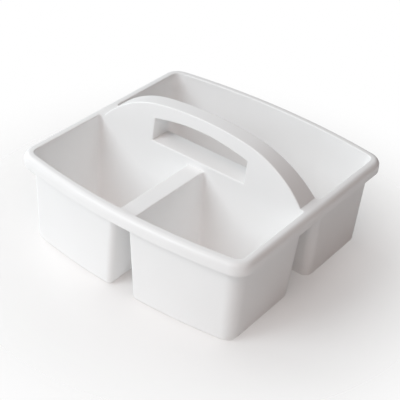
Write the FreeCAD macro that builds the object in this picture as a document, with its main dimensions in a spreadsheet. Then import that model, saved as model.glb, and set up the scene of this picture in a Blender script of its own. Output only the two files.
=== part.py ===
"""Carry caddy: three open bins hung from one rolled rim, with a fixed arched handle.

The real object is a single moulding.  It is modelled whole, then parted along flat
planes into its natural sections, so that each section is a closed solid of its own:
three bins below the parting level, and the rim, the handle and the divider above it.

Frame: +Z up, origin on the floor plane at the middle of the plan, X across the two
small bins, Y from the small bins (-Y) to the large bin (+Y).  Millimetres.
"""
import FreeCAD, Part
import math
import os
import Sketcher

DIMENSIONS = [
    # alias, value, meaning
    ("rim_width", 235, "rim, outside, along X"),
    ("rim_depth", 233, "rim, outside, along Y at the middle"),
    ("rim_height", 87, "floor plane to the top of the rim"),
    ("handle_height", 124.3, "floor plane to the top of the handle"),
    ("bow_radius", 580, "plan radius of the front and back inner edges"),
    ("rim_corner", 7.5, "plan radius of the rim's inner corners"),
    ("bin_corner", 12.5, "inside radius of the same corners, at the parting level"),
    ("foot_corner", 9.5, "inside radius of the same corners, at the floor"),
    ("gap_corner", 3, "inside radius of the corners at the divider and the handle"),
    ("back_corner", 6, "the same for the large bin, from the parting level down"),
    ("wall", 1.8, "wall and floor thickness"),
    ("rim_overhang", 8.5, "inner edge of the rim to its outer face"),
    ("rim_drop", 11, "depth of the rim's outer face below the rim top"),
    ("rim_roll", 5.5, "radius of the rim's rolled shoulder"),
    ("side_draft", 2.5, "draft of the outer walls, degrees"),
    ("gap_draft", 4, "draft of the walls that face the gaps, degrees"),
    ("bottom_round", 4, "outer radius around the foot of each bin"),
    ("edge_round", 1, "radius on the inner edges of rim, divider and handle"),
    ("divider_height", 79, "floor plane to the top of the divider"),
    ("divider_width", 16.5, "top of the divider, along X"),
    ("handle_width", 22.8, "handle at the crease, along Y, over both faces"),
    ("handle_draft", 6, "draft of the handle's two faces above the crease, degrees"),
    ("crease_height", 84, "level at which the bin walls turn into the handle's faces"),
    ("handle_span", 210, "foot to foot of the arch at rim level"),
    ("crown_radius", 290, "arch, radius over the grip"),
    ("haunch_radius", 97, "arch, radius towards the feet"),
    ("grip_width", 97.6, "hand opening, along X"),
    ("grip_sill", 85.4, "floor plane to the bottom of the hand opening"),
    ("grip_top", 112.5, "floor plane to the top of the hand opening, middle"),
    ("grip_shoulder", 106, "floor plane to the top of the hand opening, ends"),
    ("parting_height", 76, "level at which the bins are parted from the rim"),
    ("parting_margin", 1.5, "gap from a rounded corner or a foot to the nearest parting plane"),
]

doc = FreeCAD.newDocument("caddy")
sheet = doc.addObject("Spreadsheet::Sheet", "dims")
for row, (alias, number, meaning) in enumerate(DIMENSIONS, start=1):
    sheet.set(f"A{row}", meaning)
    sheet.set(f"B{row}", str(number))
    sheet.setAlias(f"B{row}", alias)
doc.recompute()

# Expressions that several features share.
BOW_CENTRE = "(dims.bow_radius - dims.rim_depth / 2 + dims.rim_overhang)"
SIDE_SLOPE = "tan(dims.side_draft * 1 deg)"
GAP_SLOPE = "tan(dims.gap_draft * 1 deg)"
ARCH_SLOPE = "tan(dims.handle_draft * 1 deg)"
ABOVE_RIM = ("(dims.rim_height + 1)", "dims.edge_round")

ROUND_STEPS = 5    # sections in the quarter round at a mouth's edge


def value(expression):
    """Number that an expression over the spreadsheet gives now."""
    result = sheet.evalExpression(expression.replace("dims.", ""))
    return float(getattr(result, "Value", result))


def bind(thing, prop, expression):
    thing.setExpression(prop, expression)


def constrain(sketch, name, expression, *reference):
    """Add one dimension, named and bound to the spreadsheet."""
    kind, places = reference[0], reference[1:]
    index = sketch.addConstraint(Sketcher.Constraint(kind, *places, value(expression)))
    sketch.renameConstraint(index, name)
    bind(sketch, f"Constraints.{name}", expression)


def half_width(skin, level):
    """Outer walls, from the plane X = 0; `skin` is the offset out of the inner face."""
    lean = f"{SIDE_SLOPE} * (dims.rim_height - {level})"
    return f"(dims.rim_width / 2 - dims.rim_overhang - {lean} + {skin})"


def half_depth(skin, level):
    """Bowed walls at the middle of the bow, from the plane Y = 0."""
    lean = f"{SIDE_SLOPE} * (dims.rim_height - {level})"
    return f"(dims.rim_depth / 2 - dims.rim_overhang - {lean} + {skin})"


def divider_face(skin, level):
    """Wall beside the divider, from the plane X = 0."""
    return f"(dims.divider_width / 2 + {GAP_SLOPE} * (dims.divider_height - {level}) - {skin})"


def handle_face(skin, level):
    """Face of the handle and of the bin walls under it, from the plane Y = 0."""
    slope = f"({level} > dims.crease_height ? {ARCH_SLOPE} : {GAP_SLOPE})"
    return f"(dims.handle_width / 2 + {slope} * (dims.crease_height - {level}) - {skin})"


# Inside plan radii of a corner at the rim, at the parting level and at the floor.
OUTER_CORNER = ("dims.rim_corner", "dims.bin_corner", "dims.foot_corner")
GAP_CORNER = ("dims.gap_corner", "dims.gap_corner", "dims.gap_corner")
BACK_CORNER = ("dims.gap_corner", "dims.back_corner", "dims.back_corner")


def corner(radii, skin, level):
    """Plan radius of a corner at one level, between its three given radii."""
    at_rim, at_parting, at_floor = radii
    below = f"{at_floor} + ({at_parting} - {at_floor}) * {level} / dims.parting_height"
    above = (f"{at_rim} + ({at_parting} - {at_rim}) * (dims.rim_height - {level})"
             " / (dims.rim_height - dims.parting_height)")
    return f"(({level} > dims.parting_height ? {above} : {below}) + {skin})"


def outline(name, level, left, right, near, far, near_radii, far_radii):
    """Closed plan sketch at one level: straight left and right sides, rounded corners.

    `near` and `far` are the -Y and +Y sides, each a pair of a kind and a position.  A
    "flat" side is a straight line; a "bowed" side is an arc about the bow's centre.  The
    radii of each are those of its left and right corners.
    """
    sketch = doc.addObject("Sketcher::SketchObject", name)
    bind(sketch, "Placement.Base.z", level)
    vector = FreeCAD.Vector
    radii = {("near", -1): near_radii[0], ("near", 1): near_radii[1],
             ("far", -1): far_radii[0], ("far", 1): far_radii[1]}
    centres = {}
    for (side, x_side), radius in radii.items():
        kind, place = near if side == "near" else far
        sign = -1 if side == "near" else 1
        round_r = value(radius)
        x = value(left if x_side < 0 else right) - x_side * round_r
        if kind == "flat":
            y = value(place) - sign * round_r
        else:
            bow = sign * value(place) + value(BOW_CENTRE)
            y = sign * (math.sqrt((bow - round_r) ** 2 - x ** 2) - value(BOW_CENTRE))
        centres[side, x_side] = vector(x, y, 0)

    def side_edge(side, kind, place, start, end):
        """Line or bow from one corner to the next, counter-clockwise."""
        if kind == "flat":
            y = value(place)
            return Part.LineSegment(vector(start.x, y, 0), vector(end.x, y, 0))
        sign = -1 if side == "near" else 1
        middle = vector(0, -sign * value(BOW_CENTRE), 0)
        bow = sign * value(place) + value(BOW_CENTRE)
        angles = [math.atan2(point.y - middle.y, point.x - middle.x) for point in (start, end)]
        return Part.ArcOfCircle(Part.Circle(middle, vector(0, 0, 1), bow), *angles)

    def corner_edge(side, x_side):
        """Arc about one corner's centre, tangent to both of its sides."""
        middle = centres[side, x_side]
        kind = (near if side == "near" else far)[0]
        sign = -1 if side == "near" else 1
        upright = sign * math.pi / 2
        if kind == "bowed":
            upright = math.atan2(middle.y + sign * value(BOW_CENTRE), middle.x)
        level_angle = 0 if x_side > 0 else sign * math.pi
        first, last = sorted((upright, level_angle))
        circle = Part.Circle(middle, vector(0, 0, 1), value(radii[side, x_side]))
        return Part.ArcOfCircle(circle, first, last)

    edges = [
        side_edge("near", *near, centres["near", -1], centres["near", 1]),
        corner_edge("near", 1),
        Part.LineSegment(vector(value(right), centres["near", 1].y, 0),
                         vector(value(right), centres["far", 1].y, 0)),
        corner_edge("far", 1),
        side_edge("far", *far, centres["far", 1], centres["far", -1]),
        corner_edge("far", -1),
        Part.LineSegment(vector(value(left), centres["far", -1].y, 0),
                         vector(value(left), centres["near", -1].y, 0)),
        corner_edge("near", -1),
    ]
    sketch.addGeometry(edges, False)
    count = len(edges)
    for index in range(count):
        sketch.addConstraint(Sketcher.Constraint("Tangent", index, 2, (index + 1) % count, 1))
    for index in (2, 6):
        sketch.addConstraint(Sketcher.Constraint("Vertical", index))
    constrain(sketch, "right", right, "DistanceX", -1, 1, 2, 1)
    constrain(sketch, "left", left, "DistanceX", -1, 1, 6, 1)
    for index, place in ((1, ("near", 1)), (3, ("far", 1)), (5, ("far", -1)), (7, ("near", -1))):
        constrain(sketch, f"corner_{index}", radii[place], "Radius", index)
    for index, side, (kind, place) in ((0, "near", near), (4, "far", far)):
        sign = "-1" if side == "near" else "1"
        if kind == "flat":
            sketch.addConstraint(Sketcher.Constraint("Horizontal", index))
            constrain(sketch, side, place, "DistanceY", -1, 1, index, 1)
        else:
            sketch.addConstraint(Sketcher.Constraint("PointOnObject", index, 3, -2))
            constrain(sketch, f"{side}_centre", f"-1 * {sign} * {BOW_CENTRE}",
                      "DistanceY", -1, 1, index, 3)
            constrain(sketch, f"{side}_bow", f"{sign} * {place} + {BOW_CENTRE}", "Radius", index)
    return sketch


def bin_outline(name, side, skin, level, flare="0"):
    """Plan of one bin: its inner face with no skin, its outer face with a wall's skin.

    `flare` moves a small bin's side beside the divider, or all of the other plans' sides
    but the handle's, to round the edge at the top of those sides.
    """
    spread = f"({skin} + {flare})"
    small = side in ("left", "right")
    outer_skin = skin if small else spread
    left = f"-1 * {half_width(outer_skin, level)}"
    right = half_width(outer_skin, level)
    bowed_at = half_depth(outer_skin, level)
    outer = corner(OUTER_CORNER, outer_skin, level)
    gap = corner(GAP_CORNER, skin, level)
    back = corner(BACK_CORNER, skin, level)
    bowed_radii = {"left": (outer, gap), "right": (gap, outer)}.get(side, (outer, outer))
    if side == "left":
        right = f"-1 * {divider_face(spread, level)}"
    elif side == "right":
        left = divider_face(spread, level)
    elif side == "rear":
        return outline(name, level, left, right, ("flat", handle_face(skin, level)),
                       ("bowed", bowed_at), (back, back), bowed_radii)
    return outline(name, level, left, right, ("bowed", f"-1 * {bowed_at}"),
                   ("flat", f"-1 * {handle_face(skin, level)}"), bowed_radii, (gap, gap))


def loft(name, sections):
    solid = doc.addObject("Part::Loft", name)
    solid.Sections = sections
    solid.Solid = True
    solid.Ruled = True
    doc.recompute()
    return solid


def profile(name, rotation, corners, arcs):
    """Closed sketch through `corners`; `arcs` gives the radius of each edge that is round.

    A corner is a pair of expressions.  A positive radius bulges to the right of travel.
    """
    sketch = doc.addObject("Sketcher::SketchObject", name)
    sketch.Placement = FreeCAD.Placement(FreeCAD.Vector(), rotation)
    points = [FreeCAD.Vector(value(x), value(y), 0) for x, y in corners]
    count = len(points)
    for index, start in enumerate(points):
        end = points[(index + 1) % count]
        if index not in arcs:
            sketch.addGeometry(Part.LineSegment(start, end), False)
            continue
        radius = value(arcs[index])
        chord = end - start
        inward = FreeCAD.Vector(-chord.y, chord.x, 0).normalize()
        rise = math.sqrt(radius ** 2 - (chord.Length / 2) ** 2)
        middle = (start + end) * 0.5 + inward * rise
        angles = [math.atan2(p.y - middle.y, p.x - middle.x) for p in (start, end)]
        circle = Part.Circle(middle, FreeCAD.Vector(0, 0, 1), radius)
        sketch.addGeometry(Part.ArcOfCircle(circle, *angles), False)
    for index, (x, y) in enumerate(corners):
        sketch.addConstraint(Sketcher.Constraint("Coincident", index, 2, (index + 1) % count, 1))
        constrain(sketch, f"x{index}", x, "DistanceX", -1, 1, index, 1)
        constrain(sketch, f"y{index}", y, "DistanceY", -1, 1, index, 1)
        if index in arcs:
            constrain(sketch, f"radius{index}", arcs[index], "Radius", index)
    return sketch


FRONT_VIEW = FreeCAD.Rotation(FreeCAD.Vector(1, 0, 0), 90)    # sketch X, Y to part X, Z
SIDE_VIEW = FreeCAD.Rotation(FreeCAD.Vector(1, 1, 1), 120)    # sketch X, Y to part Y, Z


def prism(name, sketch, length, both_ways=True):
    """Solid made by extruding a sketch along its normal, half of the length each way."""
    solid = doc.addObject("Part::Extrusion", name)
    solid.Base = sketch
    solid.DirMode = "Normal"
    solid.Solid = True
    solid.Symmetric = both_ways
    bind(solid, "LengthFwd", length)
    return solid


def combine(kind, name, *solids):
    """Part::Cut, or a Part::MultiFuse or Part::MultiCommon of several solids."""
    result = doc.addObject(kind, name)
    if kind == "Part::Cut":
        result.Base, result.Tool = solids
    else:
        result.Shapes = list(solids)
    return result


def round_edges(name, solid, radius, chosen):
    """Fillet every edge of a solid that the function `chosen` picks."""
    doc.recompute()
    size = value(radius)
    fillet = doc.addObject("Part::Fillet", name)
    fillet.Base = solid
    fillet.Edges = [(index, size, size) for index, edge in enumerate(solid.Shape.Edges, start=1)
                    if chosen(edge)]
    doc.recompute()
    return fillet


def flat_at(level):
    """Test for edges that lie in the horizontal plane at `level`."""
    height = value(level)
    return lambda edge: abs(edge.BoundBox.ZMin - height) + abs(edge.BoundBox.ZMax - height) < 1e-4


def follows(sketch):
    """Test for edges that run along a sketch's outline, seen from the front."""
    shortest = 2 * value("dims.wall")

    def test(edge):
        first, last = edge.FirstParameter, edge.LastParameter
        points = [edge.valueAt(first + share * (last - first)) for share in (0, 0.5, 1)]
        if edge.Length < shortest or points[0].y * points[2].y < 0:
            return False
        points = [FreeCAD.Vector(point.x, 0, point.z) for point in points]
        return all(sketch.Shape.distToShape(Part.Vertex(point))[0] < 0.01 for point in points)
    return test


def rounded_mouth(top):
    """Levels and flares that turn the wall's top edge through a quarter round."""
    steps = []
    for step in range(ROUND_STEPS + 1):
        angle = math.radians(90 * step / ROUND_STEPS)
        steps.append((f"({top} - {1 - math.sin(angle):.4f} * dims.edge_round)",
                      f"({1 - math.cos(angle):.4f} * dims.edge_round)"))
    return steps


# The bins.  Each is a drafted tub with a smaller drafted pocket taken out of it.  A small
# bin's pocket opens at the divider's top, and the large bin's at the rim.
BINS = {"front_left_bin": "left", "front_right_bin": "right", "rear_bin": "rear"}
bins = {}
pockets = []
for node, side in BINS.items():
    mouth = rounded_mouth("dims.divider_height")
    if side == "rear":
        mouth = [("dims.crease_height", "0"), *rounded_mouth("dims.rim_height"), ABOVE_RIM]
    tub = loft(f"{side}_tub", [
        bin_outline(f"{side}_foot", side, "dims.wall", "0"),
        bin_outline(f"{side}_shoulder", side, "dims.wall", "dims.parting_height")])
    tub = round_edges(f"{side}_tub_round", tub, "dims.bottom_round", flat_at("0"))
    pocket = loft(f"{side}_pocket", [
        bin_outline(f"{side}_floor", side, "0", "dims.wall"),
        bin_outline(f"{side}_waist", side, "0", "dims.parting_height"),
        *(bin_outline(f"{side}_mouth_{step}", side, "0", level, flare)
          for step, (level, flare) in enumerate(mouth))])
    pocket = round_edges(f"{side}_pocket_round", pocket, "dims.bottom_round - dims.wall",
                         flat_at("dims.wall"))
    pockets.append(pocket)
    bins[node] = combine("Part::Cut", node, tub, pocket)

# The well over the two small bins, from the divider's top to the rim.
front_well = loft("front_well", [
    bin_outline("well_bottom", "front", "0", "dims.divider_height"),
    bin_outline("well_crease", "front", "0", "dims.crease_height"),
    *(bin_outline(f"well_mouth_{step}", "front", "0", level, flare)
      for step, (level, flare) in enumerate([*rounded_mouth("dims.rim_height"), ABOVE_RIM]))])

# The rim: a plate that the bins' mouths are cut from, and a rolled lip carried round it.
plate = loft("plate", [
    outline(f"plate_{place}", level,
            f"-1 * {half_width('dims.wall', level)}", half_width("dims.wall", level),
            ("bowed", f"-1 * {half_depth('dims.wall', level)}"),
            ("bowed", half_depth("dims.wall", level)),
            *[[corner(OUTER_CORNER, "dims.wall", level)] * 2] * 2)
    for place, level in (("bottom", "dims.parting_height"), ("top", "dims.rim_height"))])
OUTER = "(dims.rim_width / 2)"
LIP_FOOT = "(dims.rim_height - dims.rim_drop)"
ROOT = half_width("(dims.wall / 2)", "dims.rim_height")
BEAD = "(0.4 * dims.wall)"
lip_section = profile("lip_section", FRONT_VIEW, [
    (ROOT, "dims.rim_height - dims.wall"),
    (f"{OUTER} - dims.rim_roll", "dims.rim_height - dims.wall"),
    (f"{OUTER} - dims.wall", "dims.rim_height - dims.rim_roll"),
    (f"{OUTER} - dims.wall", f"{LIP_FOOT} + {BEAD}"),
    (f"{OUTER} - dims.wall + {BEAD}", LIP_FOOT),
    (f"{OUTER} - {BEAD}", LIP_FOOT),
    (OUTER, f"{LIP_FOOT} + {BEAD}"),
    (OUTER, "dims.rim_height - dims.rim_roll"),
    (f"{OUTER} - dims.rim_roll", "dims.rim_height"),
    (ROOT, "dims.rim_height"),
], {1: "(dims.rim_roll - dims.wall)", 3: BEAD, 5: BEAD, 7: "dims.rim_roll"})
lip_path = outline("lip_path", "dims.rim_height", f"-1 * {OUTER}", OUTER,
                   ("bowed", "-1 * dims.rim_depth / 2"), ("bowed", "(dims.rim_depth / 2)"),
                   *[["(dims.rim_corner + dims.rim_overhang)"] * 2] * 2)
lip = doc.addObject("Part::Sweep", "lip")
lip.Sections = [lip_section]
lip.Spine = (lip_path, [f"Edge{index}" for index in range(1, 9)])
lip.Solid = True

# The handle: an arch with drafted faces, hollow from below but solid over the hand opening.
FOOT = "(dims.handle_span / 2)"
DECK = "(dims.rim_height - dims.wall)"
BASE = "(dims.parting_height - 5)"


def arch_outline():
    """Front view of the arch: a crown arc and a haunch arc each side, to inside the rim."""
    sketch = doc.addObject("Sketcher::SketchObject", "arch_outline")
    sketch.Placement = FreeCAD.Placement(FreeCAD.Vector(), FRONT_VIEW)
    foot, base, springing, deck = (value(text) for text in (FOOT, BASE, "dims.rim_height", DECK))
    crown, haunch = value("dims.crown_radius"), value("dims.haunch_radius")
    crown_y = value("dims.handle_height") - crown
    # The haunch centre is a haunch radius from the foot and touches the crown from inside.
    reach = math.hypot(foot, springing - crown_y)
    swing = math.acos((reach ** 2 + (crown - haunch) ** 2 - haunch ** 2)
                      / (2 * reach * (crown - haunch)))
    angle = math.atan2(springing - crown_y, foot) + swing
    haunch_x = (crown - haunch) * math.cos(angle)
    haunch_y = crown_y + (crown - haunch) * math.sin(angle)
    start = math.asin((deck - haunch_y) / haunch)
    heel = haunch_x + haunch * math.cos(start)
    up = FreeCAD.Vector(0, 0, 1)
    point = FreeCAD.Vector
    sketch.addGeometry([
        Part.LineSegment(point(-heel, base, 0), point(heel, base, 0)),
        Part.LineSegment(point(heel, base, 0), point(heel, deck, 0)),
        Part.ArcOfCircle(Part.Circle(point(haunch_x, haunch_y, 0), up, haunch), start, angle),
        Part.ArcOfCircle(Part.Circle(point(0, crown_y, 0), up, crown), angle, math.pi - angle),
        Part.ArcOfCircle(Part.Circle(point(-haunch_x, haunch_y, 0), up, haunch),
                         math.pi - angle, math.pi - start),
        Part.LineSegment(point(-heel, deck, 0), point(-heel, base, 0)),
    ], False)
    sketch.addGeometry([Part.Point(point(foot, springing, 0)),
                        Part.Point(point(-foot, springing, 0))], True)
    for first, second, kind in ((0, 1, "Coincident"), (1, 2, "Coincident"), (2, 3, "Tangent"),
                                (3, 4, "Tangent"), (4, 5, "Coincident"), (5, 0, "Coincident")):
        sketch.addConstraint(Sketcher.Constraint(kind, first, 2, second, 1))
    sketch.addConstraint(Sketcher.Constraint("Horizontal", 0))
    sketch.addConstraint(Sketcher.Constraint("Vertical", 1))
    sketch.addConstraint(Sketcher.Constraint("Vertical", 5))
    sketch.addConstraint(Sketcher.Constraint("PointOnObject", 3, 3, -2))
    constrain(sketch, "crown", "dims.crown_radius", "Radius", 3)
    constrain(sketch, "crown_centre", "dims.handle_height - dims.crown_radius",
              "DistanceY", -1, 1, 3, 3)
    constrain(sketch, "base", BASE, "DistanceY", -1, 1, 0, 1)
    # On each side the haunch passes through the foot and ends inside the rim's thickness.
    for name, arc, end, mark, sign in (("right", 2, 1, 6, "1"), ("left", 4, 2, 7, "-1")):
        constrain(sketch, f"{name}_haunch", "dims.haunch_radius", "Radius", arc)
        constrain(sketch, f"{name}_foot", f"{sign} * {FOOT}", "DistanceX", -1, 1, mark, 1)
        constrain(sketch, f"{name}_springing", "dims.rim_height", "DistanceY", -1, 1, mark, 1)
        sketch.addConstraint(Sketcher.Constraint("PointOnObject", mark, 1, arc))
        constrain(sketch, f"{name}_deck", DECK, "DistanceY", -1, 1, arc, end)
    return sketch


def mirrored(half):
    """Outline corners up the + side, then back down the mirrored - side."""
    return half + [(f"-1 * ({across})", up) for across, up in reversed(half)]


TOP = "(dims.handle_height + 5)"
BELOW = "(dims.parting_height - 1)"
front_view = arch_outline()
doc.recompute()
inset_view = doc.addObject("Part::Offset2D", "inset_view")
inset_view.Source = front_view
bind(inset_view, "Value", "-1 * dims.wall")
arch_front = prism("arch_front", front_view, "dims.handle_width * 2")
arch_side = prism("arch_side", profile("arch_section", SIDE_VIEW, mirrored([
    (handle_face("dims.wall / 2", "dims.crease_height"), "dims.parting_height"),
    (handle_face("dims.wall / 2", "dims.crease_height"), "dims.crease_height"),
    (handle_face("0", "dims.crease_height"), "dims.crease_height"),
    (handle_face("0", TOP), TOP)]), {}), "dims.rim_width")
RISE = "(dims.grip_top - dims.grip_shoulder)"
hand_opening = prism("hand_opening", profile("hand_opening_section", FRONT_VIEW, mirrored([
    ("dims.grip_width / 2", "dims.grip_sill"),
    ("dims.grip_width / 2", "dims.grip_shoulder")]),
    {1: f"((dims.grip_width / 2) ^ 2 + {RISE} ^ 2) / (2 * {RISE})"}), "dims.handle_width * 2")
arch = combine("Part::MultiCommon", "arch_blank", arch_front, arch_side)
arch = round_edges("arch_round", arch, "dims.edge_round", follows(front_view))
arch = combine("Part::Cut", "arch_open", arch, hand_opening)
arch = round_edges("arch", arch, "dims.edge_round", follows(hand_opening.Base))

core_front = prism("core_front", inset_view, "dims.handle_width * 2")
core_foot = prism("core_foot", profile("core_foot_section", FRONT_VIEW, mirrored([
    (half_width("0", "dims.parting_height"), BELOW),
    (half_width("0", "dims.parting_height"), DECK)]), {}), "dims.handle_width * 2")
core_side = prism("core_side", profile("core_section", SIDE_VIEW, mirrored([
    (handle_face("dims.wall", level), level)
    for level in (BELOW, "dims.crease_height", TOP)]), {}), "dims.rim_width")
core_blank = combine("Part::MultiCommon", "core_blank",
                     combine("Part::MultiFuse", "core_outline", core_front, core_foot), core_side)
grip_block = prism("grip_block", profile("grip_block_section", FRONT_VIEW, mirrored([
    ("dims.grip_width / 2 + dims.wall", "dims.grip_sill - dims.wall"),
    ("dims.grip_width / 2 + dims.wall", TOP)]), {}), "dims.handle_width * 2")
handle_core = combine("Part::Cut", "handle_core", core_blank, grip_block)

# The divider is hollow from below too, from the handle to the front wall.
UNDER_DIVIDER = "(dims.divider_height - dims.wall)"
divider_core = prism("divider_core", profile("divider_core_section", FRONT_VIEW, mirrored([
    (divider_face("dims.wall", BELOW), BELOW),
    (divider_face("dims.wall", UNDER_DIVIDER), UNDER_DIVIDER)]), {}),
    half_depth("0", "dims.parting_height"), both_ways=False)

# Everything above the parting level, as one solid.  The plate's wall under the arch is cut
# down to the crease, where the arch's own faces take over.
arch_seat = prism("arch_seat", profile("arch_seat_section", SIDE_VIEW, mirrored([
    ("dims.handle_width / 2 + dims.wall", "dims.crease_height"),
    ("dims.handle_width / 2 + dims.wall", TOP)]), {}), "dims.handle_span - 2 * dims.edge_round")
upper = combine("Part::MultiFuse", "rim_blank", plate, lip)
for tool in (*pockets, front_well, arch_seat):
    upper = combine("Part::Cut", f"rim_less_{tool.Name}", upper, tool)
upper = combine("Part::MultiFuse", "rim_with_arch", upper, arch)
for tool in (handle_core, divider_core):
    upper = combine("Part::Cut", f"upper_less_{tool.Name}", upper, tool)

# Flat parting planes share the upper solid out between the handle, the divider and the rim.
PARTING_X = "(dims.handle_span / 2 + dims.parting_margin)"
PARTING_Y = "(dims.handle_width / 2 + dims.back_corner + dims.parting_margin)"
DIVIDER_END = "(dims.rim_depth / 2 - dims.rim_overhang - dims.gap_corner - 2 * dims.parting_margin)"


def block(name, x_low, x_high, y_low, y_high):
    """Upright box from the parting level to above the handle."""
    box = doc.addObject("Part::Box", name)
    bind(box, "Placement.Base.x", x_low)
    bind(box, "Placement.Base.y", y_low)
    bind(box, "Placement.Base.z", "dims.parting_height")
    bind(box, "Length", f"{x_high} - {x_low}")
    bind(box, "Width", f"{y_high} - {y_low}")
    bind(box, "Height", "dims.handle_height")
    return box


handle_block = block("handle_block", f"(-1 * {PARTING_X})", PARTING_X,
                     f"(-1 * {PARTING_Y})", PARTING_Y)
divider_block = block("divider_block", "(-1 * dims.divider_width)", "dims.divider_width",
                      f"(-1 * {DIVIDER_END})", f"(-1 * {PARTING_Y})")
sections = {
    **bins,
    "handle": combine("Part::MultiCommon", "handle", upper, handle_block),
    "divider": combine("Part::MultiCommon", "divider", upper, divider_block),
    "rim": combine("Part::Cut", "rim", upper,
                   combine("Part::MultiFuse", "inner_blocks", handle_block, divider_block)),
}
doc.recompute()

for thing in doc.Objects:
    if "Invalid" in thing.State or "Error" in thing.State:
        raise RuntimeError(f"{thing.Name} failed: {thing.State}")
for node, section in sections.items():
    section.Label = node
    shape = section.Shape
    if shape.isNull() or not shape.isValid() or len(shape.Solids) != 1:
        raise RuntimeError(f"{node} is not one valid solid")

os.makedirs("parts", exist_ok=True)
for node, section in sections.items():
    section.Shape.exportStep(f"parts/{node}.step")
    print(f"{node}: {section.Shape.Volume / 1000:.1f} cm3")
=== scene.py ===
"""Looks of the carry caddy: white moulded polypropylene on a plain pale floor, soft studio light.

Lengths are in metres and angles in degrees.
"""
import math

import bpy
from mathutils import Matrix, Vector


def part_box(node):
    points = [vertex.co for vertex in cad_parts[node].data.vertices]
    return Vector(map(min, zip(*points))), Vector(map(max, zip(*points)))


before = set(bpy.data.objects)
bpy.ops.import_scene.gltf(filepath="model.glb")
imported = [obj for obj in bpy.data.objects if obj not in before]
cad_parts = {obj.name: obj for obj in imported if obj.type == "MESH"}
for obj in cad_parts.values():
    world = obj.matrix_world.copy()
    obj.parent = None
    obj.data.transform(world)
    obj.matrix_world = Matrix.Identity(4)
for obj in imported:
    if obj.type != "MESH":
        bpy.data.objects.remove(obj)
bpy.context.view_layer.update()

CAMERA_TURN = 34.88         # to the right of straight in front
CAMERA_TILT = 34.82         # looking down
CAMERA_ROLL = 4.85
CAMERA_DISTANCE = 0.9941
CAMERA_ACROSS = 0.0019      # how far its centre line passes to the right of the origin
CAMERA_ABOVE = 0.03248      # and above it
CAMERA_LENS = 99.7          # in millimetres, as is the sensor
CAMERA_SENSOR = 36

# Azimuth from +X towards +Y, elevation, diameter, power in watts and colour. The last one only
# lifts the underside.
LIGHTS = {
    "key": (-120, 35, 1.2, 21.5, (0.90, 0.965, 1.0)),
    "warm": (-60, 55, 1.5, 10.0, (1.0, 0.83, 0.78)),
    "fill": (180, 30, 1.5, 20.5, (0.94, 0.985, 1.0)),
    "under": (0, -90, 1.5, 3.0, (1.0, 0.96, 0.94)),
}
LIGHT_DISTANCE = 2.0
LIGHT_AIM = Vector((0, 0, 0.05))
DISPLAY_GAMMA = 1.5         # lifts the middle tones

FLOOR_SOLID = 0.06          # the seen sheet is solid out to this radius
FLOOR_FADED = 0.30          # and has faded out at this one
FLOOR_DEPTH = 0.0002        # below the feet, so that the two never share a plane
BOUNCE_HALF = 3.0           # half the side of the sheet that throws light back
BOUNCE_DEPTH = 0.0005
FLOOR_PALE = (0.93, 0.915, 0.905, 1)
FLOOR_SHADE = (0.91, 0.895, 0.885, 1)
FLOOR_ROUGHNESS = 0.75

PLASTIC_WHITE = (0.982, 0.982, 0.980, 1)
PLASTIC_CLOUD = (0.968, 0.966, 0.962, 1)
PLASTIC_SPECK = (0.950, 0.949, 0.947, 1)
SPECK_SHARE = 0.25
SCUFFED = (0.80, 0.79, 0.77, 1)
SCUFF_BAND = (0.0004, 0.003)      # heights at which the feet's scuffs start to fade and end
SCUFF_ROUGHNESS = 0.2
WALL_ROUGHNESS = 0.39
HANDLED_ROUGHNESS = 0.31
HANDLED_BAND = (-0.006, 0.010)    # from the rim's lowest edge, where walls turn smoother
PLASTIC_IOR = 1.49


def camera():
    """Three-quarter view from the front right, a little rolled, as the photographer stood."""
    turn, tilt, roll = (math.radians(angle) for angle in (CAMERA_TURN, CAMERA_TILT, CAMERA_ROLL))
    ahead = Vector((-math.sin(turn), math.cos(turn), 0))
    forward = ahead * math.cos(tilt) - Vector((0, 0, math.sin(tilt)))
    level = Vector((math.cos(turn), math.sin(turn), 0))
    rise = level.cross(forward)
    right = level * math.cos(roll) + rise * math.sin(roll)
    up = rise * math.cos(roll) - level * math.sin(roll)
    data = bpy.data.cameras.new("camera")
    data.sensor_width = CAMERA_SENSOR
    data.lens = CAMERA_LENS
    view = bpy.data.objects.new("camera", data)
    bpy.context.scene.collection.objects.link(view)
    place = right * CAMERA_ACROSS + up * CAMERA_ABOVE - forward * CAMERA_DISTANCE
    axes = Matrix((right, up, -forward)).transposed()
    view.matrix_world = Matrix.Translation(place) @ axes.to_4x4()
    bpy.context.scene.camera = view


def soft_light(name, azimuth, elevation, size, power, colour):
    """Round soft box aimed at the object."""
    turn, rise = math.radians(azimuth), math.radians(elevation)
    flat = Vector((math.cos(turn), math.sin(turn), 0))
    away = flat * math.cos(rise) + Vector((0, 0, math.sin(rise)))
    data = bpy.data.lights.new(name, "AREA")
    data.shape = "DISK"
    data.size = size
    data.energy = power
    data.color = colour
    lamp = bpy.data.objects.new(name, data)
    bpy.context.scene.collection.objects.link(lamp)
    lamp.location = LIGHT_AIM + away * LIGHT_DISTANCE
    lamp.rotation_euler = (-away).to_track_quat("-Z", "Y").to_euler()


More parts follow.
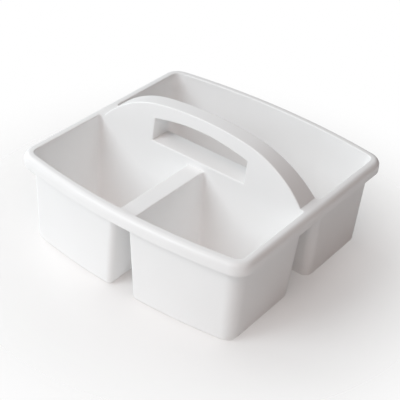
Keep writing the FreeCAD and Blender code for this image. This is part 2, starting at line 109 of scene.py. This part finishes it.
class Nodes:
    """Short calls for building one material's node tree."""

    def __init__(self, name):
        self.material = bpy.data.materials.new(name)
        self.material.use_nodes = True
        self.tree = self.material.node_tree
        self.shader = self.tree.nodes["Principled BSDF"]
        self.place = self.add("ShaderNodeTexCoord").outputs["Object"]

    def add(self, kind, **settings):
        node = self.tree.nodes.new(kind)
        for name, value in settings.items():
            setattr(node, name, value)
        return node

    def feed(self, socket, source):
        """Give an input a link from an output, or a plain value."""
        if isinstance(source, bpy.types.NodeSocket):
            self.tree.links.new(source, socket)
        else:
            socket.default_value = source

    def noise(self, scale, detail=2.0, roughness=0.5, distortion=0.0):
        node = self.add("ShaderNodeTexNoise")
        self.feed(node.inputs["Vector"], self.place)
        self.feed(node.inputs["Scale"], scale)
        self.feed(node.inputs["Detail"], detail)
        self.feed(node.inputs["Roughness"], roughness)
        self.feed(node.inputs["Distortion"], distortion)
        return node.outputs["Fac"]

    def spread(self, source, before, after, smooth=False):
        """Map a value from one range (low, high) to another, clamped at its ends."""
        curve = "SMOOTHSTEP" if smooth else "LINEAR"
        node = self.add("ShaderNodeMapRange", interpolation_type=curve)
        self.feed(node.inputs["Value"], source)
        self.feed(node.inputs["From Min"], before[0])
        self.feed(node.inputs["From Max"], before[1])
        self.feed(node.inputs["To Min"], after[0])
        self.feed(node.inputs["To Max"], after[1])
        return node.outputs["Result"]

    def maths(self, operation, first, second):
        node = self.add("ShaderNodeMath", operation=operation)
        self.feed(node.inputs[0], first)
        self.feed(node.inputs[1], second)
        return node.outputs["Value"]

    def mix(self, share, first, second):
        """Colour that goes from first to second as share goes from 0 to 1."""
        node = self.add("ShaderNodeMix", data_type="RGBA")
        inputs = {socket.identifier: socket for socket in node.inputs}
        outputs = {socket.identifier: socket for socket in node.outputs}
        self.feed(inputs["Factor_Float"], share)
        self.feed(inputs["A_Color"], first)
        self.feed(inputs["B_Color"], second)
        return outputs["Result_Color"]

    def bump(self, height, strength, distance, under=None):
        """Bump of a height pattern, over another bump if one is given."""
        node = self.add("ShaderNodeBump")
        self.feed(node.inputs["Height"], height)
        self.feed(node.inputs["Strength"], strength)
        self.feed(node.inputs["Distance"], distance)
        if under:
            self.feed(node.inputs["Normal"], under)
        return node.outputs["Normal"]

    def height(self):
        """Height above the plane that the feet stand on."""
        node = self.add("ShaderNodeSeparateXYZ")
        self.feed(node.inputs["Vector"], self.place)
        return node.outputs["Z"]

    def radius(self):
        """Distance from the object's origin."""
        node = self.add("ShaderNodeVectorMath", operation="LENGTH")
        self.feed(node.inputs[0], self.place)
        return node.outputs["Value"]


def polypropylene():
    """Satin white moulding: faint clouding and flow, fine mould grain, dulled feet."""
    nodes = Nodes("white_polypropylene")
    height = nodes.height()

    flow = nodes.noise(scale=16, detail=3, roughness=0.55, distortion=0.4)
    clouding = nodes.spread(flow, (0.35, 0.65), (0, 1), smooth=True)
    speckle = nodes.spread(nodes.noise(scale=750), (0.3, 0.7), (0, 1))
    rubbing = nodes.noise(scale=140, detail=4, roughness=0.6)
    marks = nodes.spread(rubbing, (0.4, 0.6), (0.4, 1))
    feet = nodes.spread(height, SCUFF_BAND, (1, 0), smooth=True)
    scuffs = nodes.maths("MULTIPLY", feet, marks)
    colour = nodes.mix(clouding, PLASTIC_WHITE, PLASTIC_CLOUD)
    colour = nodes.mix(nodes.maths("MULTIPLY", speckle, SPECK_SHARE), colour, PLASTIC_SPECK)
    colour = nodes.mix(scuffs, colour, SCUFFED)
    nodes.feed(nodes.shader.inputs["Base Color"], colour)

    # The rim and handle are worn a little smoother by hands than the bins' walls.
    rim_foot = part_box("rim")[0][2]
    band = [rim_foot + end for end in HANDLED_BAND]
    handled = nodes.spread(height, band, (WALL_ROUGHNESS, HANDLED_ROUGHNESS), smooth=True)
    patchy = nodes.noise(scale=45, detail=3, roughness=0.6)
    patches = nodes.spread(patchy, (0.3, 0.7), (-0.03, 0.04))
    sheen = nodes.maths("ADD", handled, patches)
    dulled = nodes.maths("MULTIPLY", scuffs, SCUFF_ROUGHNESS)
    nodes.feed(nodes.shader.inputs["Roughness"], nodes.maths("ADD", sheen, dulled))
    nodes.shader.inputs["IOR"].default_value = PLASTIC_IOR

    # Long shallow waves of an unevenly cooled wall, under the fine grain of the mould.
    cooling = nodes.noise(scale=24, detail=1, roughness=0.4)
    waves = nodes.bump(cooling, strength=0.20, distance=0.0012)
    texture = nodes.noise(scale=1900, detail=3, roughness=0.6)
    grain = nodes.bump(texture, strength=0.06, distance=0.00006, under=waves)
    nodes.feed(nodes.shader.inputs["Normal"], grain)
    return nodes.material


def sheet(name, half, depth, unseen_by):
    """Level square of the stage, unseen by some kinds of ray; gives its material's nodes."""
    corners = [(x * half, y * half, -depth) for x, y in ((-1, -1), (1, -1), (1, 1), (-1, 1))]
    mesh = bpy.data.meshes.new(name)
    mesh.from_pydata(corners, [], [(0, 1, 2, 3)])
    piece = bpy.data.objects.new(name, mesh)
    bpy.context.scene.collection.objects.link(piece)
    for ray in unseen_by:
        setattr(piece, "visible_" + ray, False)
    nodes = Nodes(name)
    mottle = nodes.mix(nodes.noise(scale=30), FLOOR_PALE, FLOOR_SHADE)
    nodes.feed(nodes.shader.inputs["Base Color"], mottle)
    nodes.shader.inputs["Roughness"].default_value = FLOOR_ROUGHNESS
    mesh.materials.append(nodes.material)
    return nodes


def floor():
    """Pale floor in two sheets: one is seen, and fades out into the white around it so that it
    shows no far edge; the other lies just under it and only throws light back at the object."""
    seen = sheet("floor", FLOOR_FADED, FLOOR_DEPTH, ("diffuse", "glossy", "transmission", "shadow"))
    solid = seen.spread(seen.radius(), (FLOOR_SOLID, FLOOR_FADED), (1, 0), smooth=True)
    seen.feed(seen.shader.inputs["Alpha"], solid)
    sheet("floor_bounce", BOUNCE_HALF, BOUNCE_DEPTH, ("camera", "shadow"))


def studio():
    """Soft round lights, in white surroundings that only the camera sees."""
    for name, settings in LIGHTS.items():
        soft_light(name, *settings)
    world = bpy.data.worlds.new("studio")
    bpy.context.scene.world = world
    world.use_nodes = True
    background = world.node_tree.nodes["Background"]
    background.inputs["Color"].default_value = (1, 1, 1, 1)
    background.inputs["Strength"].default_value = 1
    for ray in ("diffuse", "glossy", "transmission", "scatter"):
        setattr(world.cycles_visibility, ray, False)
    display = bpy.context.scene.view_settings
    display.view_transform = "Standard"
    display.gamma = DISPLAY_GAMMA


camera()
floor()
studio()
plastic = polypropylene()
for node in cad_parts.values():
    node.data.materials.clear()
    node.data.materials.append(plastic)
